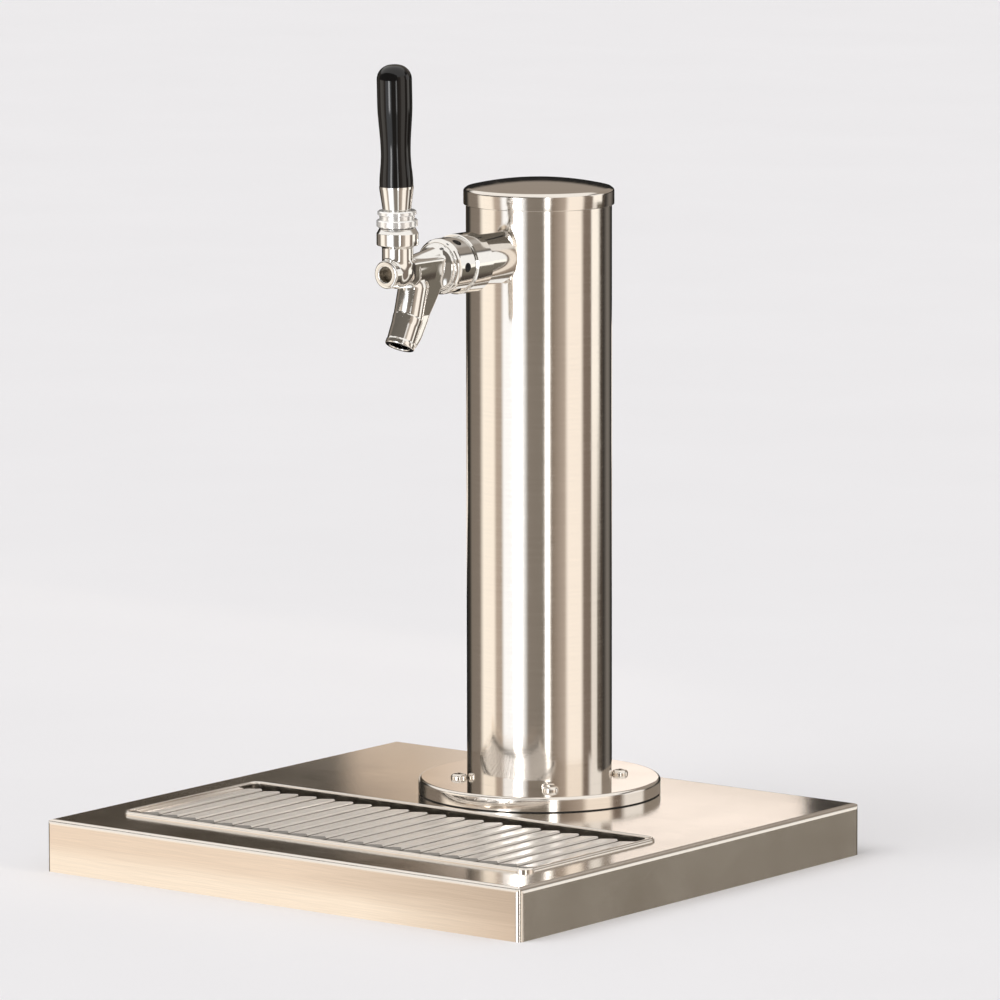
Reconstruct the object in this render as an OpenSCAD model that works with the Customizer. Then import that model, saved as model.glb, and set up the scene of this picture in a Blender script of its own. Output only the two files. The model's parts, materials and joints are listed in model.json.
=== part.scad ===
// Draft beer dispenser: a raised deck with a lift-out drip tray and a one-faucet tower.
// Millimetres. Origin under the middle of the deck, +Z up, the faucet points to -Y.

/* [Deck] */
// Width of the deck, left to right
deck_w = 316; // [290:1:420]
// Depth of the deck, front to back
deck_d = 298; // [280:1:400]
// Height of the deck
deck_h = 28; // [25:0.5:40]
// Thickness of the deck sheet
sheet_t = 1.5; // [1:0.1:2]
// Outer bend radius of the deck edges
bend_r = 3; // [2.5:0.5:6]
// Width of the return lip under the deck
lip_w = 18; // [14:1:24]
// Diameter of the four fixing holes in the lip
lip_hole_d = 5.2; // [4:0.1:6.5]

/* [Drip tray] */
// Width over the rim of the drip pan
tray_w = 273; // [240:1:285]
// Depth over the rim of the drip pan
tray_d = 114; // [90:1:122]
// Gap between the tower flange and the pan rim
tray_gap = 10; // [6:0.5:20]
// Width of the rim that lies on the deck
rim_w = 3; // [2:0.25:5]
// Thickness of the pan sheet
pan_t = 1.2; // [0.8:0.1:2]
// Corner radius of the rim
rim_r = 7; // [5:0.5:14]
// Height of the pan's underside above the counter
pan_clear = 6; // [4:0.5:9]
// Width of a grate slat
slat_w = 11.6; // [9:0.1:11.8]
// Thickness of a grate slat
slat_t = 1.6; // [1:0.1:2]
// Tilt of the slats
slat_tilt = 6; // [3:0.5:10]
// Distance between grate slats
slat_pitch = 12.6; // [12.4:0.1:16]
// Gap between the slat ends and the pan rim
slat_gap = 14; // [8:0.5:18]
// Height of the slats' high edges above the deck top
slat_rise = 0.9; // [0:0.1:2]
// Thickness of a grate rail
rail_t = 4; // [3:0.5:6]

/* [Tower] */
// Outer diameter of the column
column_d = 78; // [72:0.1:90]
// Wall thickness of the column
column_t = 1.6; // [1.2:0.1:2.5]
// Height of the cap rim above the deck top
column_h = 326.7; // [280:0.1:420]
// Distance from the column axis to the back edge of the deck
tower_back = 75; // [68:0.5:90]
// Diameter of the base flange
flange_d = 130.5; // [120:0.5:140]
// Thickness of the base flange
flange_t = 7.6; // [6:0.1:10]
// Thickness of the gasket under the flange
seal_t = 0.6; // [0.5:0.1:2]
// Diameter of the flange screws
screw_d = 4.8; // [4:0.1:6]
// Diameter of a flange screw head
screw_head_d = 8.8; // [8:0.1:11]
// How far the cap stands proud of the column
cap_lip = 1.3; // [1:0.1:3]
// Height of the cap skirt
cap_skirt = 8.6; // [6:0.1:14]
// Rise of the cap dome
cap_dome = 5; // [2:0.1:8]
// Height of the plug inside the cap
plug_h = 10; // [7:0.5:12]

/* [Shank and line] */
// Depth of the faucet axis below the cap rim
tap_drop = 34.2; // [32:0.1:60]
// Thread diameter of the shank
shank_d = 22.2; // [20:0.1:24]
// Bore of the shank
shank_bore = 6.4; // [5:0.1:8]
// Diameter of the saddle
saddle_d = 27.2; // [26:0.1:32]
// Length of the saddle from the column surface
saddle_l = 20.5; // [10:0.1:24]
// Diameter of the collar that clamps the saddle
collar_d = 32; // [29:0.1:37]
// Length of the collar
collar_l = 13.8; // [10:0.1:16]
// Outer diameter of the beer line
line_d = 11.1; // [9:0.1:13]
// Bore of the beer line
line_bore = 6.4; // [5:0.1:7]
// Distance of the beer line behind the column axis
line_back = 12; // [10:0.5:16]

/* [Faucet] */
// Diameter of the coupling nut
nut_d = 29.6; // [29.2:0.1:34.2]
// Length of the coupling nut
nut_l = 14.8; // [13:0.1:17.1]
// Thread diameter at the rear of the faucet
tail_d = 25.8; // [25:0.1:26]
// Length of the faucet body
body_l = 50.7; // [50:0.1:58.4]
// Distance from the lever axis to the front of the nose
nose_l = 10.5; // [9.5:0.1:12.1]
// Diameter of the faucet barrel
barrel_d = 16; // [15:0.1:18]
// Diameter of the nose
nose_d = 15; // [14:0.1:17]
// Thread diameter of the neck under the bonnet
neck_d = 18.8; // [18:0.1:20]
// Diameter of the neck below its thread
neck_low_d = 16.4; // [16.2:0.1:18]
// Distance of the spout root behind the lever axis
spout_set = 21.2; // [20:0.1:23]
// Lean of the spout from the vertical
spout_lean = 27; // [15:1:35]
// Length of the spout from the barrel axis
spout_l = 44; // [38:0.5:60]
// Diameter of the spout at its root
spout_d = 17; // [16.5:0.1:18]
// Diameter of the spout at its mouth
mouth_d = 15.4; // [14:0.1:17]
// Bore of the spout
spout_bore = 11; // [9:0.1:12]

/* [Lever and handle] */
// Height of the lever pivot above the faucet axis
pivot_h = 14.7; // [14:0.1:16]
// Diameter of the lever ball
ball_d = 14; // [13.5:0.1:14.4]
// Swing of the lever from closed to open
swing = 22.5; // [15:0.5:23]
// Forward lean of the closed lever
lever_lean = 1.5; // [0:0.5:2]
// Diameter of the bonnet
bonnet_d = 22; // [21.5:0.1:24]
// Height of the bonnet's side above the pivot
bonnet_h = 6.5; // [5:0.1:7]
// Diameter of the lever collar
grip_collar_d = 21.6; // [20:0.1:23]
// Length of the ferrule
ferrule_l = 12.7; // [10:0.1:20]
// Diameter of the ferrule at its foot
ferrule_d = 15; // [14:0.1:18]
// Length of the handle
handle_l = 63.6; // [50:0.1:120]
// Largest diameter of the handle
handle_d = 18.4; // [16:0.1:30]
// Diameter of the handle at its waist
waist_d = 15.6; // [14:0.1:24]
// Diameter of the handle at its foot
foot_d = 17.7; // [15:0.1:24]
// Diameter of the lever stud
stud_d = 9.4; // [8:0.1:10]

/* [Hidden] */
$fn = 64;

// Clearances
slip = 0.25;
thread_gap = 0.05;
run_gap = 0.08;
eps = 0.5;
// Broken edge of a turned piece
bevel = 0.6;

// Deck and tray
deck_in_w = deck_w - 2*sheet_t;
deck_in_d = deck_d - 2*sheet_t;
lip_x = deck_w/2 - lip_w/2;
lip_y = deck_d/2 - lip_w/2;
tower_y = deck_d/2 - tower_back;
tray_y = tower_y - flange_d/2 - tray_gap - tray_d/2;
pan_w = tray_w - 2*rim_w;
pan_d = tray_d - 2*rim_w;
pan_r = rim_r - rim_w/2;
pan_edge_r = 4;
pan_slip = 0.6;
pan_floor = pan_clear + pan_t;
rim_z = deck_h + pan_t;
bead_r = 0.9;
bead_z = deck_h + 1;
bead_corner = rim_r - rim_w/2;
slat_z = deck_h + slat_rise - slat_w/2*sin(slat_tilt) - slat_t;
slat_len = tray_d - 2*slat_gap;
slat_side = 0.5;
slat_room = pan_w - 2*pan_t - 2*slat_side - slat_w;
slat_n = floor(slat_room/slat_pitch) + 1;
slat_span = (slat_n - 1)*slat_pitch;
slat_edge_r = slat_t*0.45;
rail_w = slat_span + slat_w;
rail_y = slat_len*0.36;
rail_foot_w = 8;
rail_foot_in = 6;
rail_arch = 7;

// Tower
column_r = column_d/2;
column_in_r = column_r - column_t;
flange_z = deck_h + seal_t;
ledge_t = 2;
ledge_w = 3.5;
ledge_r = column_in_r - ledge_w;
column_z = flange_z + ledge_t;
line_hole_in = 6;
line_hole_r = ledge_r - line_hole_in;
flange_edge_r = 2;
head_gap = 0.3;
screw_r = column_r + screw_head_d/2 + head_gap;
screw_head_h = 2.4;
head_edge_r = 2;
head_crown = 0.3;
screw_nut_t = 4;
screw_nut_af = 8;
screw_tip = 1;
screw_l = flange_t + seal_t + sheet_t + screw_nut_t + screw_tip;
cross_l = 4.8;
cross_w = 1;
cross_deep = 1.2;
cap_z = deck_h + column_h;
cap_t = 1.5;
cap_r = column_r + cap_lip;
cap_edge_r = 1.6;
column_top = cap_z - cap_t;
dome_ball = (cap_r^2 + cap_dome^2)/(2*cap_dome);
dome_half = asin((cap_r - cap_edge_r)/dome_ball);
plug_r = column_in_r - 0.35;
plug_t = 3.6;
ring_r = 1.5;
ring_at = plug_r - ring_r + 0.25;
ring_z = column_top - plug_h*0.55;

// Shank and line, u counts outwards from the column axis along the faucet axis
tap_z = cap_z - tap_drop;
shank_r = shank_d/2;
saddle_u = column_r + saddle_l;
nut_u = saddle_u + collar_l + 0.3;
nut_lip = 2.2;
nut_edge_r = 3;
nut_face = 0.3;
spanner_r = 2.5;
spanner_at = 7;
shank_head_l = 3.6;
shank_head_r = tail_d/2 - 0.6;
shank_front = nut_u + nut_lip + 0.3 + shank_head_l;
washer_t = 1.5;
body_u = shank_front + washer_t;
inner_washer_r = 16;
washer_u = sqrt(column_in_r^2 - inner_washer_r^2) - 2.3;
shank_nut_af = 30;
shank_nut_t = 8;
shank_rear = 9;
tail_flange_t = 2.5;
tail_nut_lip = 2.5;
tail_u = shank_rear - washer_t;
tail_nut_u = tail_u - tail_flange_t - tail_nut_lip;
tail_nut_af = 28;
tail_tube_r = 5;
barb_r = line_bore/2 - thread_gap;
barb_l = 18;
barb_bore_r = 2.2;
elbow_leg = 9;
line_top = tap_z - elbow_leg - 0.3;
line_bottom = deck_h - 10;
clamp_h = 7;
clamp_t = 1.2;
clamp_ear = 3.6;
clamp_ear_w = 4;
clamp_in = 2;
fitting_hex = 12;
fitting_hex_t = 4;
fitting_tip = 4;
fitting_grip = 14;
foam_drop = 8;
foam_top = line_top - barb_l - foam_drop;

// Faucet, w counts outwards from the rear face of the body
lever_at = body_l - nose_l;
spout_at = lever_at - spout_set;
lever_y = tower_y - body_u - lever_at;
tail_l = 7.5;
flare_w = 8;
flare_r = 12.4;
flare_end = flare_w + 4.5;
ridge_r = 7.7;
ridge_rise = 3.4;
ridge_l = 22;
ridge_tilt = atan2(ridge_rise, ridge_l);
barrel_r = barrel_d/2;
nose_r = nose_d/2;
neck_r = neck_d/2;
neck_low_r = neck_low_d/2;
neck_step = pivot_h - 1.3;
neck_top = pivot_h + 3.3;
nose_len = 12;
nose_edge_r = 1;
chamber_r = 6.6;
seat_w = spout_at - 3.5;
seat_run = 1.6;
flow_r = 4.8;
guide_w = lever_at - 15.5;
piston_r = 4.05;
guide_r = piston_r + run_gap;
mouth_r = mouth_d/2;
spout_r = spout_d/2;
spout_y = lever_y + spout_set;
knee_at = 28;
joint_over = 0.1;
knee_r = (spout_r + mouth_r)/2;
knee = on_spout(knee_at);
shoulder = on_spout(11.8, -3.3);
shoulder_l = norm(shoulder - knee);
shoulder_lean = atan2(shoulder[0] - knee[0], shoulder[1] - knee[1]);
web_half = 7.6;
web_half_low = 3;
web_deep = 30;
web_top = 5.5;
web_chamfer = 1.4;
web_rear = 12.5;
web_drop = 3;
web_from = 5;
web_run = 21;
web_back = 13;
web_low = 7.8;
chin_in = 4;
chin_drop = 6;
lip_ring = 0.3;
lip_ring_l = 2.4;
throat_r = 4.5;
throat_l = 12;

// Lever
arm = pivot_h;
travel = arm*swing*PI/180;
ball_r = ball_d/2;
ball_gap = 0.1;
socket_r = ball_r + 0.3;
socket_deep = 4.7;
seat_t = 2.5;
well_r = socket_r - 1.3;
well_z = 4.5;
port_w = 6;
port_h = 5.5;
port_front = 3.2;
port_back = travel + 1;
stem_r = 3.7;
finger_r = 1.6;
tip_r = 2.5;
bonnet_r = bonnet_d/2;
dome_r = 13;
dome_hole_r = 8.9;
dome_edge_r = 9.6;
washer_hole_r = 6.35;
throat_top_r = 6.95;
washer_r = neck_r - 0.1;
bonnet_foot = pivot_h - 0.1;
bonnet_ceiling = neck_top + 2.5;
cup_gap = 0.45;
cup_r = dome_r + cup_gap;
grip_collar_r = grip_collar_d/2;
grip_collar_top = pivot_h + 18.3;
ferrule_top = grip_collar_top + ferrule_l;
stud_r = stud_d/2;
ferrule_top_r = foot_d/2 + 0.15;
stud_grip = 14;
stud_end_gap = 0.3;
stud_top = ferrule_top + stud_grip;
groove_r = 9.2;
groove_z = grip_collar_top - 4.7;
groove_l = 2.1;
neck_ring_r = 10.2;
cup_edge_r = 9.4;
cup_edge_z = pivot_h + 9.7;
waist_at = handle_l*0.27;
swell_at = handle_l*0.7;
tip_flat = 1.5;
tip_round = handle_d/2 - tip_flat;

// Shaft, w as for the faucet
seal_l = 4.6;
seal_r = 5.9;
shaft_r = 2.4;
shaft_nut_t = 2.6;
shaft_nut_af = 7.5;
seal_gap = 0.1;
shaft_back = seat_w - seal_l - shaft_nut_t - seal_gap;
piston_w = guide_w + 4.5;
piston_recess = 4;
piston_front = body_l - piston_recess;
slot_w = 5.6;
slot_l = 6.8;
slot_below = 3;

function arc(c, r, a0, a1, n = 12) =
  [for (i = [0:n]) let (a = a0 + (a1 - a0)*i/n) c + r*[cos(a), sin(a)]];
// Point beside the spout's axis, as y and z
function on_spout(s, back = 0) = [spout_y - s*sin(spout_lean) + back*cos(spout_lean),
  tap_z - s*cos(spout_lean) - back*sin(spout_lean)];
function ease(a, b, t) = a + (b - a)*(1 - cos(180*t))/2;

module rounded_rect(w, d, r) {
  square([w - 2*r, d], center = true);
  square([w, d - 2*r], center = true);
  for (x = [-1, 1], y = [-1, 1]) translate([x*(w/2 - r), y*(d/2 - r)]) circle(r);
}

module arched(w, h, r) {
  translate([-w/2, 0]) square([w, h - r]);
  translate([-w/2 + r, 0]) square([w - 2*r, h]);
  for (x = [-1, 1]) translate([x*(w/2 - r), h - r]) circle(r);
}

// Box with rounded upright corners and rounded top edges
module soft_box(w, d, h, corner_r, edge_r) {
  intersection() {
    linear_extrude(h) rounded_rect(w, d, corner_r);
    translate([0, d/2, 0]) rotate([90, 0, 0]) linear_extrude(d) arched(w, h, edge_r);
    translate([-w/2, 0, 0]) rotate([90, 0, 90]) linear_extrude(w) arched(d, h, edge_r);
  }
}

module hex(af, h) {
  cylinder(h = h, d = af/cos(30), $fn = 6);
}

module at_tower(z = 0) {
  translate([0, tower_y, z]) children();
}

// Local z runs outwards along the faucet axis and local y points up
module along_tap() {
  translate([0, tower_y, tap_z]) rotate([90, 0, 0]) children();
}

module along_body() {
  along_tap() translate([0, 0, body_u]) children();
}

module at_lever(h = 0) {
  translate([0, lever_y, tap_z + h]) children();
}

// As at_lever, for the pieces that swing with the lever
module on_lever(h = 0) {
  at_lever(pivot_h) rotate([lever_lean, 0, 0]) translate([0, 0, h - pivot_h]) children();
}

// Local z runs down the spout
module along_spout(s = 0) {
  translate([0, spout_y, tap_z]) rotate([180 - spout_lean, 0, 0]) translate([0, 0, s]) children();
}

// As along_spout, for its upper part
module along_shoulder() {
  translate([0, shoulder[0], shoulder[1]]) rotate([180 - shoulder_lean, 0, 0]) children();
}

// The middle of a slat's underside, seen from the front
module at_slats() {
  for (i = [0:slat_n - 1]) translate([i*slat_pitch - slat_span/2, slat_z]) rotate(slat_tilt) children();
}

module at_screws(z) {
  for (a = [45:90:315]) at_tower(z) rotate(a) translate([screw_r, 0, 0]) children();
}

module at_lip_holes(z) {
  for (x = [-1, 1], y = [-1, 1]) translate([x*lip_x, y*lip_y, z]) children();
}

module deck_shell() color("#c9c2b8") difference() {
  soft_box(deck_w, deck_d, deck_h, bend_r, bend_r);
  translate([0, 0, sheet_t])
    soft_box(deck_in_w, deck_in_d, deck_h - 2*sheet_t, bend_r - sheet_t, bend_r - sheet_t);
  translate([0, 0, -eps]) linear_extrude(2*sheet_t)
    rounded_rect(deck_w - 2*lip_w, deck_d - 2*lip_w, bend_r);
  translate([0, tray_y, deck_h - 2*sheet_t]) linear_extrude(3*sheet_t)
    rounded_rect(pan_w + 2*pan_slip, pan_d + 2*pan_slip, pan_r + pan_slip);
  at_tower(deck_h - 2*sheet_t) cylinder(h = 3*sheet_t, r = line_hole_r);
  at_screws(deck_h - 2*sheet_t) cylinder(h = 3*sheet_t, d = screw_d + slip);
  at_lip_holes(-eps) cylinder(h = 2*sheet_t, d = lip_hole_d);
}

// Rolled edge along the middle of the rim
module rim_bead() {
  for (x = [-1, 1]) translate([x*(tray_w/2 - rim_w/2), 0, 0]) rotate([90, 0, 0])
    cylinder(h = tray_d - 2*rim_r, r = bead_r, center = true);
  for (y = [-1, 1]) translate([0, y*(tray_d/2 - rim_w/2), 0]) rotate([0, 90, 0])
    cylinder(h = tray_w - 2*rim_r, r = bead_r, center = true);
  for (a = [0:90:270]) let (side = [a == 0 || a == 270 ? 1 : -1, a < 180 ? 1 : -1])
    translate([side[0]*(tray_w/2 - rim_r), side[1]*(tray_d/2 - rim_r), 0]) rotate(a)
      rotate_extrude(angle = 90) translate([bead_corner, 0]) circle(bead_r);
}

module drip_pan() color("#b9b2a8") difference() {
  union() {
    translate([0, tray_y, deck_h]) soft_box(tray_w, tray_d, pan_t, rim_r, pan_t*0.8);
    translate([0, tray_y, bead_z]) rim_bead();
    translate([0, tray_y, deck_h + pan_t/2]) mirror([0, 0, 1])
      soft_box(pan_w, pan_d, deck_h + pan_t/2 - pan_clear, pan_r, pan_edge_r);
  }
  translate([0, tray_y, rim_z + eps]) mirror([0, 0, 1])
    soft_box(pan_w - 2*pan_t, pan_d - 2*pan_t, rim_z + eps - pan_floor,
      pan_r - pan_t, pan_edge_r - pan_t);
}

module grate_slats() color("#d8cfc2")
  translate([0, tray_y + slat_len/2, 0]) rotate([90, 0, 0]) linear_extrude(slat_len)
    at_slats() translate([0, slat_t/2]) rounded_rect(slat_w, slat_t, slat_edge_r);

// Flat bar on edge, its top cut to steps that carry the slats
module rail_profile() difference() {
  translate([-rail_w/2, pan_floor]) square([rail_w, deck_h - pan_floor]);
  at_slats() translate([-slat_pitch/2, 0]) square(slat_pitch);
  translate([-rail_w/2 + rail_foot_in + rail_foot_w, pan_floor - eps])
    square([rail_w - 2*rail_foot_in - 2*rail_foot_w, rail_arch + eps]);
  for (x = [-1, 1]) translate([x*rail_w/2, pan_floor]) square([2*rail_foot_in, 2*rail_arch], center = true);
}

module grate_rails() color("#b9b2a8")
  for (y = [-1, 1])
    translate([0, tray_y + y*rail_y + rail_t/2, 0]) rotate([90, 0, 0])
      linear_extrude(rail_t) rail_profile();

module flange_nuts() color("#a9a49c")
  at_screws(deck_h - sheet_t - screw_nut_t) difference() {
    hex(screw_nut_af, screw_nut_t);
    translate([0, 0, -eps]) cylinder(h = screw_nut_t + 2*eps, d = screw_d + 2*thread_gap);
  }

module tower_gasket() color("#1d1d1d") difference() {
  at_tower(deck_h) cylinder(h = seal_t, r = flange_d/2 - 0.8);
  at_tower(deck_h - eps) cylinder(h = seal_t + 2*eps, r = line_hole_r);
  at_screws(deck_h - eps) cylinder(h = seal_t + 2*eps, d = screw_d + slip);
}

module base_flange() color("#d5cec4") difference() {
  at_tower(flange_z) rotate_extrude()
    polygon(concat([[ledge_r, 0], [flange_d/2, 0]],
      arc([flange_d/2 - flange_edge_r, flange_t - flange_edge_r], flange_edge_r, 0, 90),
      [[column_r + thread_gap, flange_t], [column_r + thread_gap, ledge_t], [ledge_r, ledge_t]]));
  at_screws(flange_z - eps) cylinder(h = flange_t + 2*eps, d = screw_d + slip);
}

module flange_screws() color("#cfcabf")
  at_screws(flange_z + flange_t) difference() {
    rotate_extrude() polygon(concat([[0, -screw_l], [screw_d/2, -screw_l], [screw_d/2, 0]],
      [[screw_head_d/2, 0]],
      arc([screw_head_d/2 - head_edge_r, screw_head_h - head_edge_r], head_edge_r, 0, 80),
      [[0, screw_head_h + head_crown]]));
    for (a = [0, 90]) rotate(a) translate([-cross_l/2, -cross_w/2, screw_head_h - cross_deep])
      cube([cross_l, cross_w, 2*cross_deep]);
  }

module tower_column() color("#cfc8bd") difference() {
  at_tower(column_z) cylinder(h = column_top - column_z, r = column_r, $fn = 128);
  at_tower(column_z - eps) cylinder(h = column_top - column_z + 2*eps, r = column_in_r, $fn = 128);
  along_tap() cylinder(h = column_r + 5, r = shank_r + slip);
}

module line_insulation() color("#3a3a38") difference() {
  at_tower(column_z) cylinder(h = foam_top - column_z, r = column_in_r - 0.3);
  translate([0, tower_y + line_back, column_z - eps])
    cylinder(h = foam_top - column_z + 2*eps, d = line_d + 2*slip);
}

module tower_cap() color("#cfc8bd")
  at_tower(cap_z) rotate_extrude() polygon(concat(
    [[column_r + slip, -cap_skirt], [cap_r - 0.5, -cap_skirt], [cap_r, -cap_skirt + 0.5]],
    arc([cap_r - cap_edge_r, -cap_edge_r], cap_edge_r, 0, 60, 5),
    arc([0, cap_dome - dome_ball], dome_ball, 90 - dome_half, 90, 12),
    [[0, cap_dome - cap_t]],
    arc([0, cap_dome - cap_t - dome_ball], dome_ball, 90, 90 - dome_half*0.78, 10),
    [[plug_r - plug_t - 1, -cap_t], [column_r + slip, -cap_t]]));

module cap_plug() color("#2a2a2a") difference() {
  at_tower(column_top - plug_h) cylinder(h = plug_h, r = plug_r);
  at_tower(column_top - plug_h - eps) cylinder(h = plug_h + 2*eps, r = plug_r - plug_t);
  at_tower(ring_z) rotate_extrude() translate([ring_at, 0])
    square([2*ring_r, 2*ring_r + 2*thread_gap], center = true);
}

module cap_seal() color("#151515")
  at_tower(ring_z) rotate_extrude() translate([ring_at, 0]) circle(ring_r);

module shank_saddle() color("#d9d6d0") difference() {
  along_tap() rotate_extrude() polygon([[shank_r + slip, column_r - 8], [saddle_d/2, column_r - 8],
    [saddle_d/2, saddle_u - bevel], [saddle_d/2 - bevel, saddle_u], [shank_r + slip, saddle_u]]);
  at_tower(tap_z - saddle_d) cylinder(h = 2*saddle_d, r = column_r, $fn = 128);
}

module shank_collar() color("#dedbd6")
  along_tap() rotate_extrude() polygon([[shank_r + thread_gap, saddle_u], [collar_d/2 - bevel, saddle_u],
    [collar_d/2, saddle_u + bevel], [collar_d/2, saddle_u + collar_l - bevel],
    [collar_d/2 - bevel, saddle_u + collar_l], [shank_r + thread_gap, saddle_u + collar_l]]);

module shank() color("#cfcac2") along_tap() rotate_extrude()
  polygon([[shank_bore/2, shank_rear], [shank_r - bevel, shank_rear], [shank_r, shank_rear + bevel],
    [shank_r, shank_front - shank_head_l], [shank_head_r, shank_front - shank_head_l],
    [shank_head_r, shank_front], [shank_bore/2, shank_front]]);

module shank_washer() color("#b8b2a8") difference() {
  intersection() {
    along_tap() translate([0, 0, washer_u]) cylinder(h = column_r - washer_u, r = inner_washer_r);
    at_tower(tap_z - 2*inner_washer_r) cylinder(h = 4*inner_washer_r, r = column_in_r, $fn = 128);
  }
  along_tap() cylinder(h = column_r, r = shank_r + slip);
}

module shank_nut() color("#b8b2a8") along_tap() translate([0, 0, washer_u - shank_nut_t]) difference() {
  hex(shank_nut_af, shank_nut_t);
  translate([0, 0, -eps]) cylinder(h = shank_nut_t + 2*eps, r = shank_r + thread_gap);
}

module tailpiece_washer() color("#1d1d1d") along_tap() translate([0, 0, tail_u]) difference() {
  cylinder(h = washer_t, r = shank_r - 1);
  translate([0, 0, -eps]) cylinder(h = washer_t + 2*eps, d = shank_bore);
}

module tailpiece() color("#c8a45a") difference() {
  union() {
    along_tap() translate([0, 0, tail_u - tail_flange_t]) cylinder(h = tail_flange_t, r = shank_r - 0.6);
    along_tap() translate([0, 0, -line_back]) cylinder(h = line_back + tail_u - 0.5, r = tail_tube_r);
    translate([0, tower_y + line_back, tap_z]) sphere(tail_tube_r);
    translate([0, tower_y + line_back, tap_z - elbow_leg]) cylinder(h = elbow_leg, r = tail_tube_r);
    translate([0, tower_y + line_back, tap_z - elbow_leg - barb_l]) cylinder(h = barb_l + 1, r = barb_r);
  }
  along_tap() translate([0, 0, -line_back]) cylinder(h = line_back + tail_u + eps, r = barb_bore_r);
  translate([0, tower_y + line_back, tap_z - elbow_leg - barb_l - eps])
    cylinder(h = elbow_leg + barb_l + eps, r = barb_bore_r);
}

module tailpiece_nut() color("#b8b2a8") along_tap() difference() {
  translate([0, 0, tail_nut_u]) hex(tail_nut_af, washer_u - shank_nut_t - 1 - tail_nut_u);
  translate([0, 0, tail_nut_u + tail_nut_lip]) cylinder(h = 2*shank_d, r = shank_r + thread_gap);
  translate([0, 0, tail_nut_u - eps]) cylinder(h = shank_d, r = tail_tube_r + thread_gap);
}

module beer_line() color("#e8e2d2") translate([0, tower_y + line_back, line_bottom]) difference() {
  cylinder(h = line_top - line_bottom, d = line_d);
  translate([0, 0, -eps]) cylinder(h = line_top - line_bottom + 2*eps, d = line_bore);
}

module hose_clamps() color("#b8b2a8")
  for (z = [line_top - clamp_in - clamp_h, line_bottom + clamp_in])
    translate([0, tower_y + line_back, z]) difference() {
      union() {
        cylinder(h = clamp_h, r = line_d/2 + thread_gap + clamp_t);
        translate([-clamp_ear_w/2, line_d/2, 0]) cube([clamp_ear_w, clamp_ear, clamp_h]);
      }
      translate([0, 0, -eps]) cylinder(h = clamp_h + 2*eps, r = line_d/2 + thread_gap);
    }

module line_fitting() color("#c8a45a") translate([0, tower_y + line_back, 0]) difference() {
  union() {
    translate([0, 0, fitting_tip]) cylinder(h = line_bottom + fitting_grip - fitting_tip, r = barb_r);
    translate([0, 0, line_bottom - fitting_hex_t]) hex(fitting_hex, fitting_hex_t);
  }
  translate([0, 0, fitting_tip - eps]) cylinder(h = line_bottom + fitting_grip, r = barb_bore_r);
}

// Round nut with six holes for a pin spanner
module coupling_nut() color("#dcdad6") along_tap() translate([0, 0, nut_u]) difference() {
  rotate_extrude() polygon(concat(
    [[shank_r + slip, 0], [nut_d/2 - bevel, 0], [nut_d/2, bevel]],
    arc([nut_d/2 - nut_edge_r, nut_l - nut_edge_r], nut_edge_r, 0, 50, 4),
    [[tail_d/2 + nut_face, nut_l], [tail_d/2 + thread_gap, nut_l], [tail_d/2 + thread_gap, nut_lip],
    [shank_r + slip, nut_lip]]));
  for (a = [0:60:300]) rotate(a) translate([shank_r, 0, spanner_at]) rotate([0, 90, 0])
    cylinder(h = nut_d/2, r = spanner_r);
}

module coupling_washer() color("#1d1d1d") along_tap() translate([0, 0, shank_front]) difference() {
  cylinder(h = washer_t, r = tail_d/2 - 0.8);
  translate([0, 0, -eps]) cylinder(h = washer_t + 2*eps, d = shank_bore + 2);
}

module body_mass() {
  along_body() rotate_extrude() polygon(concat(
    [[0, 0], [tail_d/2, 0], [tail_d/2, tail_l]],
    [for (t = [0:0.1:1]) [ease(flare_r, barrel_r, t), flare_w + (flare_end - flare_w)*t]],
    [[barrel_r, body_l - nose_len - 2], [nose_r, body_l - nose_len]],
    arc([nose_r - nose_edge_r, body_l - nose_edge_r], nose_edge_r, 0, 90, 4), [[0, body_l]]));
  along_body() translate([0, ridge_rise, flare_w]) rotate([ridge_tilt, 0, 0])
    cylinder(h = ridge_l, r = ridge_r);
  at_lever() rotate_extrude() polygon([[0, 0], [neck_low_r, 0], [neck_low_r, neck_step],
    [neck_r, neck_step + neck_r - neck_low_r], [neck_r, neck_top], [0, neck_top]]);
  at_lever() sphere(neck_low_r);
  along_shoulder() sphere(spout_r + joint_over);
  along_shoulder() cylinder(h = shoulder_l, r1 = spout_r, r2 = knee_r);
  along_spout(knee_at) sphere(knee_r + joint_over);
  along_spout(knee_at) cylinder(h = spout_l - knee_at - 1, r1 = knee_r, r2 = mouth_r);
  along_spout(spout_l - lip_ring_l) cylinder(h = lip_ring_l, r = mouth_r + lip_ring);
  body_web();
}

// Web that joins the barrel, neck and spout, and thins out downwards
module body_web() intersection() {
  rotate([90, 0, 90]) linear_extrude(2*web_half, center = true)
    polygon(concat([[lever_y, tap_z + web_top], [spout_y + web_rear, tap_z + web_top],
      [spout_y + web_rear, tap_z - web_drop]],
      [for (t = [0:0.125:1]) on_spout(web_from + web_run*t, web_low + (web_back - web_low)*(1 - t)^2)],
      [knee, shoulder - [chin_in, 0], [lever_y + chin_in, tap_z - chin_drop]]));
  translate([0, spout_y, tap_z]) rotate([90, 0, 0]) linear_extrude(2*body_l, center = true)
    polygon([[web_chamfer - web_half, web_top], [web_half - web_chamfer, web_top],
      [web_half, web_top - web_chamfer], [web_half_low, -web_deep], [-web_half_low, -web_deep],
      [-web_half, web_top - web_chamfer]]);
}

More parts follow.
